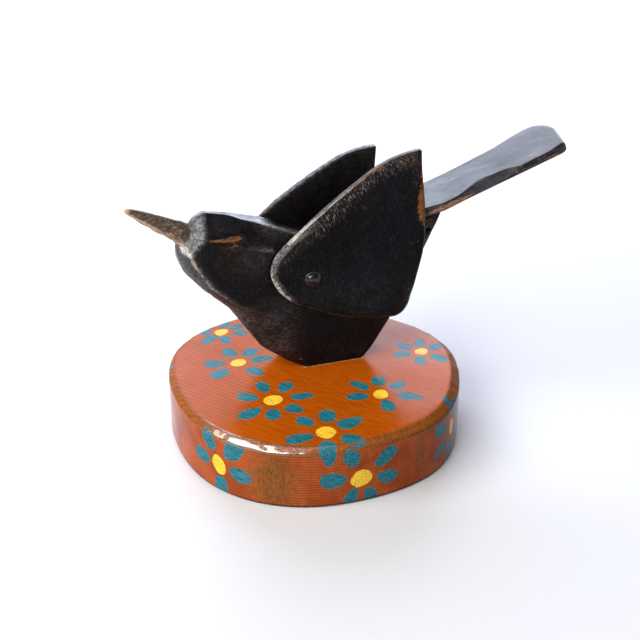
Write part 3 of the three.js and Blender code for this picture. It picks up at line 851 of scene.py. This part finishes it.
# %% [markdown]
# ## The painted base
#
# The base is a sawn slab. Its rim was cut by hand, so the radius wanders in a few lobes, and its
# top edge is whittled off. To paint it, each point gets a paper distance: how far a strip of paper
# laid from the middle out over the edge would reach. Flowers on the top are drawn on that paper,
# and flowers on the side are drawn on the strip that wraps round it.

# %% The base's shape
BASE_RADIUS, BASE_HEIGHT = 55.0, 24.0
RIM_LOBES = [(2, 0.29, 82), (3, 0.44, 3), (4, 0.50, -134), (5, 0.86, 23), (6, 0.46, 75)]
EDGE_LOBES = [(1, 0.47, -42), (2, 0.39, -7)]
BASE_STEPS = [14, 3, 42, 9, 84]


def lobes(terms, angle):
    return sum(size * np.cos(count * angle - math.radians(phase)) for count, size, phase in terms)


angle = np.arange(520) * math.tau / 520
radius = BASE_RADIUS + lobes(RIM_LOBES, angle)
slope = 2.2 + lobes(EDGE_LOBES, angle)


def ring(r, z):
    return np.stack([r * np.cos(angle), r * np.sin(angle), z * np.ones_like(angle)], -1)


slab_rings = [
    ring(0 * radius, 0), ring(radius - 0.5, 0), ring(radius, 0.5),
    ring(radius, BASE_HEIGHT - slope), ring(radius - slope, BASE_HEIGHT), ring(0 * radius, BASE_HEIGHT),
]
rows = handled(carried(slab_rings, BASE_STEPS)[1:-1], 3)
x, y, z = np.moveaxis(rows, -1, 0)
r = np.hypot(x, y)
turn = np.broadcast_to(np.arctan2(y, x), x.shape)
paper = np.where(z > BASE_HEIGHT - 0.05, r, (radius - slope) + np.hypot(r - (radius - slope), np.minimum(z - BASE_HEIGHT, 0)))
on_side = z < BASE_HEIGHT - slope
paper = np.where(on_side, (radius - slope) + slope * math.sqrt(2) + (BASE_HEIGHT - slope - z), paper)
px, py = paper * np.cos(turn), paper * np.sin(turn)

# %% [markdown]
# Each petal is one dab of a round brush. In its own frame it is an oval whose width shrinks
# towards the end where the brush left. The value kept on the points is how far inside the dab's
# border they are, in mm, so the shader can draw a crisp border between points that are far apart.

# %% Painted flowers
def dab(u, v, at, bearing, length, width, point):
    """How far inside an oval of that length and width, in mm: (1 - distance in half sizes) * half
    width. Its half width is scaled by 1 - point * s, where s runs from -1 inside to 1 outside."""
    c, s = math.cos(bearing), math.sin(bearing)
    a = ((u - at[0]) * c + (v - at[1]) * s) / (length / 2)
    b = ((v - at[1]) * c - (u - at[0]) * s) / (width / 2) / np.clip(1 - point * a, 0.25, 2)
    return (1 - np.hypot(a, b)) * width / 2


def flower(u, v, at, heart, petals):
    """The heart is [length, width, bearing]; petals are [offset u, offset v, length, width, point]."""
    petal = np.full_like(u, -9.0)
    for du, dv, length, width, point in petals:
        bearing = math.atan2(dv, du)
        petal = np.maximum(petal, dab(u, v, (at[0] + du, at[1] + dv), bearing, length, 0.88 * width, point))
    return petal, dab(u, v, at, heart[2], heart[0], heart[1], 0.1)


TOP_FLOWERS = [
    ((-25.4, 40.2), (6.2, 5.2, 0.3), [(3.1, 6.2, 7, 5, 0.2), (6.9, 2.2, 7, 5, 0.1), (7.1, -3.3, 6.5, 5, 0), (-0.3, -6.9, 7, 5.2, 0.1),
                     (-6.4, -5.0, 9, 5, 0.3), (-6.2, 1.6, 6.5, 5, 0)]),
    ((-25.7, 13.9), (6.2, 5.4, 0.4), [(-1.2, 8.8, 8, 6.4, 0), (6.2, 6.3, 8.5, 6, -0.3), (9.4, 0.1, 9.5, 6, 0.4), (-8.6, 1.9, 8.5, 6.4, -0.2),
                     (-8.8, -6.0, 9, 6.6, -0.2), (4.3, -8.7, 8, 6.6, 0.35)]),
    ((-21.2, -16.8), (7.2, 6.8, 0.3), [(-0.9, 10.1, 8, 6.2, 0), (6.9, 7.5, 8.6, 6, -0.2), (-8.4, 5.0, 8.4, 6.8, -0.1), (10.7, -0.6, 9, 5.4, 0.2),
                      (-10.2, -6.2, 10.5, 7, -0.35), (-2.9, -9.3, 8, 6.4, -0.2), (5.3, -8.3, 8, 6.4, 0.3)]),
    ((-10.3, -43.6), (8.2, 7.0, 1.3), [(-4.5, 9.2, 8, 6.6, 0), (4.0, 10.1, 8.8, 7.2, -0.1), (10.6, 3.6, 10.5, 7.4, 0.45), (-9.7, -0.8, 11, 7, -0.2),
                      (7.5, -7.2, 9.4, 7, 0.1), (-2.6, -10.4, 11, 7.2, 0.1)]),
    ((17.1, -25.2), (6.6, 5.8, 1.2), [(-5.2, 8.6, 9, 5.6, 0), (2.5, 9.3, 7.4, 6.2, 0), (7.8, 3.8, 7.4, 6, 0), (-8.7, 1.0, 8.4, 6.4, -0.1),
                     (9.3, -4.6, 11, 6, 0.4), (-0.7, -8.3, 8.6, 6.2, -0.2)]),
    ((43.2, 0.1), (5.4, 4.8, 0.6), [(-4.5, 6.2, 7.4, 5.6, 0), (2.0, 6.6, 6.6, 5.4, 0), (6.6, 1.6, 6.6, 5.4, 0), (-7.7, 0.4, 7.4, 5.8, -0.1),
                   (4.5, -7.4, 8.4, 5.8, 0.2), (-2.9, -6.9, 7, 5.6, 0)]),
    ((8.0, 41.5), (6.4, 5.6, 0.2), [(0, 8, 7.6, 5.6, 0.1), (7.2, 3, 7.6, 5.6, 0), (6.4, -4.6, 7.4, 5.8, 0), (-1.4, -7.8, 7.6, 5.6, 0),
                   (-7.4, -2.8, 7.8, 5.6, 0.2), (-6.4, 4.6, 7.2, 5.8, 0)]),
]
# Side flowers stand at [bearing in degrees, height], and their petals are in mm along and up
SIDE_FLOWERS = [
    (-145.2, 10.8, (8.0, 6.0, -1.25), [(-4.7, 8.6, 8.4, 7.4, 0), (6.6, 8.4, 10, 8.6, -0.1), (-8.6, 0.4, 8.8, 7.0, 0), (9.4, -1.0, 9.4, 7, 0), (1.0, -8.2, 8.6, 7.0, 0.1)]),
    (-90.8, 9.8, (8.4, 6.6, 0.1), [(-3.9, 9.0, 8, 7, 0), (9.4, 6.6, 10.4, 6.4, -0.1), (-10.2, 0.8, 10, 7, -0.25), (9.9, -1.6, 8.4, 6.2, -0.1),
                  (-4.1, -7.2, 8, 5.6, 0), (3.4, -7.7, 7.4, 5.6, 0)]),
    (-43.7, 13.1, (6.8, 4.0, 1.6), [(-9.0, 3.4, 9, 6.6, 0), (-9.2, -4.8, 9.5, 5, 0.3), (-2.2, -8.6, 9, 5.4, 0.2), (5.0, 6.0, 8, 6, 0),
                   (0.5, 9.4, 8, 6.2, 0), (6.6, -5.2, 8.6, 5.6, 0)]),
    (157.0, 11.6, (6.8, 5.6, 0.4), [(8.8, 6.4, 8.4, 6, 0), (7.4, -7.4, 9, 5.8, 0), (0.2, 9.4, 8, 6, 0), (-8.2, 4.2, 8.2, 6, 0), (-6.2, -6.6, 8, 5.6, 0.2)]),
    (112.0, 12.4, (6.6, 5.8, 1.0), [(0.4, 8.4, 8, 6, 0), (8.6, 2.4, 8.6, 5.8, 0), (5.4, -7.2, 8, 5.6, 0), (-4.8, -7.6, 8, 5.8, 0), (-8.6, 2.0, 8.4, 5.6, 0.1)]),
    (64.0, 11.2, (6.4, 5.8, 0.2), [(-1.4, 8.6, 8.2, 6, 0), (7.6, 5.0, 8.4, 6, 0), (7.8, -4.6, 8.2, 5.6, 0.1), (-1.0, -8.2, 7.4, 5.8, 0), (-8.6, 0.6, 8.8, 5.8, 0)]),
    (14.0, 11.8, (6.8, 5.6, 0.7), [(0.8, 8.8, 8, 6, 0), (8.8, 1.4, 8.6, 5.8, 0.1), (3.6, -7.8, 7.8, 5.6, 0), (-6.2, -5.8, 8.2, 5.6, 0), (-7.8, 4.4, 8.4, 6, 0)]),
]

petal, heart = np.full_like(x, -9.0), np.full_like(x, -9.0)
brush = 0.35 * waves(rows, 2.2, 61)
on_top = paper < radius + 6
for at, heart_size, petals in TOP_FLOWERS:
    p, h = flower(px, py, at, heart_size, petals)
    petal, heart = np.where(on_top, np.maximum(petal, p), petal), np.where(on_top, np.maximum(heart, h), heart)
for bearing, height_up, heart_size, petals in SIDE_FLOWERS:
    arc = (turn - math.radians(bearing) + math.pi) % math.tau - math.pi
    up = BASE_HEIGHT - (paper - (radius - slope) - 0.8)
    p, h = flower(arc * BASE_RADIUS, up, (0.0, height_up), heart_size, petals)
    near_side = paper > radius - slope - 4
    petal, heart = np.where(near_side, np.maximum(petal, p), petal), np.where(near_side, np.maximum(heart, h), heart)
petal, heart = petal + brush, heart + brush
print("flowers:", len(TOP_FLOWERS) + len(SIDE_FLOWERS))

# %% [markdown]
# The paint is worn to brown wood along the whittled edge and in a few patches on the side, and the
# saw has left shallow rows of marks. The marks of the saw stand out of the surface a little, so
# they are part of the mesh as well as of the finish.

# %% Saw rows, wear, painted shade and the glue under the foot
SAW_STEP, SIDE_STEP = 1.95, 1.05
saw_turn = math.radians(-53)
saw_across = x * -math.sin(saw_turn) + y * math.cos(saw_turn)
top_rows = np.sin(math.tau * saw_across / SAW_STEP + 0.8 * waves(rows, 20, 62))
side_rows = waves(rows * [0.2, 0.2, 1], 0.9, 63)
beyond = paper - (radius - slope)
chamfer = np.clip(1 - np.maximum(-beyond, beyond - slope * math.sqrt(2)) / 0.8, 0, 1)
to_edge = np.minimum(np.abs(paper - (radius - slope)), np.abs(paper - (radius + 0.4 * slope)))
saw_height = np.where(on_side, 0.035 * side_rows, np.where(z > BASE_HEIGHT - 0.05, 0.006 * top_rows, 0))
height = saw_height + 0.10 * waves(rows, 10, 64) + chamfer * (0.22 * waves(rows, 4.5, 65) + 0.1 * waves(rows, 1.6, 66))
height = height * np.where(z < 0.6, 0, 1)
normal = facing(rows)
outward = np.sign(np.sum(normal * (rows - [0, 0, 12]), -1).mean())
rows = rows + normal * (outward * height * np.where(z > 23.5, 0.6, 1.0))[..., None]
foot_x, foot_y = np.abs(x - 8.65) - 11.4, np.abs(y - BIRD_BACK) - 9.6
foot = np.hypot(np.maximum(foot_x, 0), np.maximum(foot_y, 0))
glue = np.where((z > 23.5) & (foot > 0), 1 - foot / 1.1, -1.0)
left_half = np.clip((-14 - x) / 18, 0, 1) * np.clip((y + 32) / 14, 0, 1)
sawn = np.where(on_side, 0.85 + 0.3 * waves(rows, 14, 68), 0.12 + 0.75 * left_half)
varnish_thick = chamfer * (0.04 + np.clip(1.5 * np.exp(-(((turn + 2.25) / 0.31) ** 2)), 0, 0.96))
front_right = 0.5 + 0.5 * np.cos(turn + 0.55)
top_line = np.exp(-((beyond / 0.9) ** 2))
low_line = np.exp(-(((beyond - slope * math.sqrt(2) - 0.2) / 0.55) ** 2))
matt = np.clip(0.5 * top_line + 0.6 * chamfer, 0, 1) * (1 - np.clip(1.6 * varnish_thick, 0, 1))
# Dark lines along both borders of the whittled edge, stronger towards the front right, and painted shade along the
# bottom where the base meets the floor
edge_lines_and_floor_shade = 0.75 * low_line * front_right**2 + 0.4 * top_line * front_right**3 + 1.0 * np.exp(-((z / 1.4) ** 2))
wear = (
    0.50 * chamfer
    + (0.10 + 0.28 * front_right) * np.exp(-((to_edge / 0.8) ** 2))
    + 0.60 * on_side * (1.07 * spot(turn, z, (-2.16, 11.0), (0.28, 20.0)) + 1.1 * spot(turn, z, (-1.14, 12.5), (0.08, 12.0)) + spot(turn, z, (2.0, 9), (0.2, 6)))
    + 0.35 * np.exp(-((z / 0.9) ** 2)) * on_side
    + 0.05 * waves(rows, 12, 67)
)
marks = {"petal": petal, "heart": heart, "wear": wear, "glue": glue, "side": on_side * 1.0, "edge": varnish_thick, "sawn": sawn}
marks = {**marks, "matt": matt, "edge_lines_and_floor_shade": edge_lines_and_floor_shade}

# %% The painted finish
base_material, tree, shader = finish("varnished_paint")
where = place(tree)
side, whittled, sawn = mark(tree, "side"), mark(tree, "edge"), mark(tree, "sawn")
# The saw's rows: straight across the top, and level round the side
wander = maths(tree, "MULTIPLY", speckle(tree, where, 14.0, 2.0), 3.5)
across_rows = node(tree, "SeparateXYZ", place(tree, (0, 0, -saw_turn)), out=1)
up_rows = node(tree, "SeparateXYZ", where, out=2)
top_wave = maths(tree, "SINE", maths(tree, "ADD", maths(tree, "MULTIPLY", across_rows, math.tau / SAW_STEP), wander))
side_wave = maths(tree, "SINE", maths(tree, "ADD", maths(tree, "MULTIPLY", up_rows, math.tau / SIDE_STEP), wander))
lines = node(tree, "Mix", side, None, top_wave, side_wave, data_type="FLOAT")
weave = speckle(tree, place(tree, (0, 0, 0), (1, 1, 1 / 5)), 0.45, 2.0, 0.7)
streaks = speckle(tree, place(tree, (0, 0, -saw_turn), (1 / 7, 1, 1)), 0.7, 4.0, 0.6)
grit = speckle(tree, where, 0.5, 3.0, 0.7)
faded = band(tree, speckle(tree, where, 9.0, 3.0), 0.3, 0.7)
# Orange paint, darker in the saw's rows
top_paint = mixed(tree, band(tree, streaks, 0.3, 0.7), (0.35, 0.058, 0.0011, 1), (0.47, 0.092, 0.0018, 1))
side_patches = speckle(tree, where, 12.0, 3.0, 0.6)
side_paint = mixed(tree, band(tree, side_patches, 0.35, 0.65), (0.29, 0.052, 0.011, 1), (0.43, 0.088, 0.021, 1))
side_paint = mixed(tree, maths(tree, "MULTIPLY", band(tree, weave, 0.45, 0.75), 0.45), side_paint, (0.16, 0.040, 0.012, 1))
paint = mixed(tree, side, top_paint, side_paint)
depth = maths(tree, "MULTIPLY", band(tree, maths(tree, "ADD", lines, maths(tree, "MULTIPLY", grit, 0.9)), 0.65, 1.35), sawn)
depth = maths(tree, "MULTIPLY", depth, maths(tree, "ADD", maths(tree, "MULTIPLY", faded, 0.3), 0.32))
paint = mixed(tree, depth, paint, (0.15, 0.030, 0.006, 1))
# Brown wood where the paint is gone
ragged = maths(tree, "MULTIPLY", maths(tree, "SUBTRACT", speckle(tree, where, 1.6, 5.0, 0.7), 0.5), 0.8)
worn = band(tree, maths(tree, "ADD", mark(tree, "wear"), ragged), 0.34, 0.66)
bare = mixed(tree, band(tree, weave, 0.3, 0.7), (0.085, 0.035, 0.009, 1), (0.26, 0.112, 0.026, 1))
paint = mixed(tree, maths(tree, "MULTIPLY", worn, 0.8), paint, bare)
# Petals and hearts, dabbed on with a dry brush
fray = maths(tree, "MULTIPLY", maths(tree, "SUBTRACT", grit, 0.5), 0.9)
petals_on = band(tree, maths(tree, "ADD", mark(tree, "petal"), fray), 0.0, 0.2)
hearts_on = band(tree, maths(tree, "ADD", mark(tree, "heart"), fray), 0.0, 0.2)
brushed = maths(tree, "ADD", maths(tree, "MULTIPLY", grit, 0.6), maths(tree, "MULTIPLY", streaks, 0.5))
teal = mixed(tree, band(tree, brushed, 0.38, 0.70), (0.007, 0.066, 0.092, 1), (0.034, 0.225, 0.275, 1))
yellow = mixed(tree, band(tree, brushed, 0.35, 0.60), (0.46, 0.22, 0.015, 1), (0.95, 0.60, 0.05, 1))
hold = maths(tree, "SUBTRACT", 1.0, maths(tree, "MULTIPLY", worn, maths(tree, "MULTIPLY", faded, 0.5)))
coloured = mixed(tree, maths(tree, "MULTIPLY", petals_on, hold), paint, teal)
coloured = mixed(tree, maths(tree, "MULTIPLY", hearts_on, hold), coloured, yellow)
coloured = mixed(tree, maths(tree, "MULTIPLY", depth, 0.45), coloured, (0.05, 0.03, 0.015, 1))
# Darker lines along the whittled edge, and painted shade along the bottom where the base meets the floor
darker_lines_and_shade = band(tree, maths(tree, "ADD", mark(tree, "edge_lines_and_floor_shade"), ragged), 0.3, 0.8)
coloured = mixed(tree, maths(tree, "MULTIPLY", darker_lines_and_shade, 0.8), coloured, (0.035, 0.018, 0.010, 1))
glued = band(tree, maths(tree, "ADD", mark(tree, "glue"), ragged), 0.45, 0.7)
coloured = mixed(tree, maths(tree, "MULTIPLY", glued, 0.85), coloured, (0.50, 0.40, 0.20, 1))
tree.links.new(coloured, shader.inputs["Base Color"])
# Varnish: glossy on the flat, thick and uneven on the whittled edge
gloss = node(tree, "MapRange", speckle(tree, where, 3.0, 4.0, 0.6), 0.3, 0.7, 0.07, 0.14)
tree.links.new(maths(tree, "ADD", gloss, maths(tree, "MULTIPLY", mark(tree, "matt"), 0.5)), shader.inputs["Roughness"])
flat_level = node(tree, "MapRange", mark(tree, "matt"), 0.0, 0.6, 0.055, 0.012)
sunward = node(tree, "MapRange", node(tree, "SeparateXYZ", where), 12.0, 45.0, 1.0, 1.5)
flat_level = maths(tree, "MULTIPLY", flat_level, sunward)
tree.links.new(maths(tree, "ADD", maths(tree, "MULTIPLY", whittled, 0.7), flat_level), shader.inputs["Specular IOR Level"])
tree.links.new(maths(tree, "MULTIPLY", whittled, 0.9), shader.inputs["Coat Weight"])
shader.inputs["Coat Roughness"].default_value = 0.08
shader.inputs["Coat IOR"].default_value = 1.9
ripple = roughened(tree, None, maths(tree, "MULTIPLY", lines, sawn), 0.012)
threads = roughened(tree, None, weave, 0.03, below=ripple)
combed = maths(tree, "ADD", maths(tree, "MULTIPLY", weave, 0.7), speckle(tree, where, 0.9, 3.0, 0.6))
chipped = roughened(tree, None, maths(tree, "MULTIPLY", whittled, combed), 0.3, below=threads)
roughened(tree, shader, grit, 0.03, below=chipped)
skin("painted_base", rows, marks, base_material, "base")
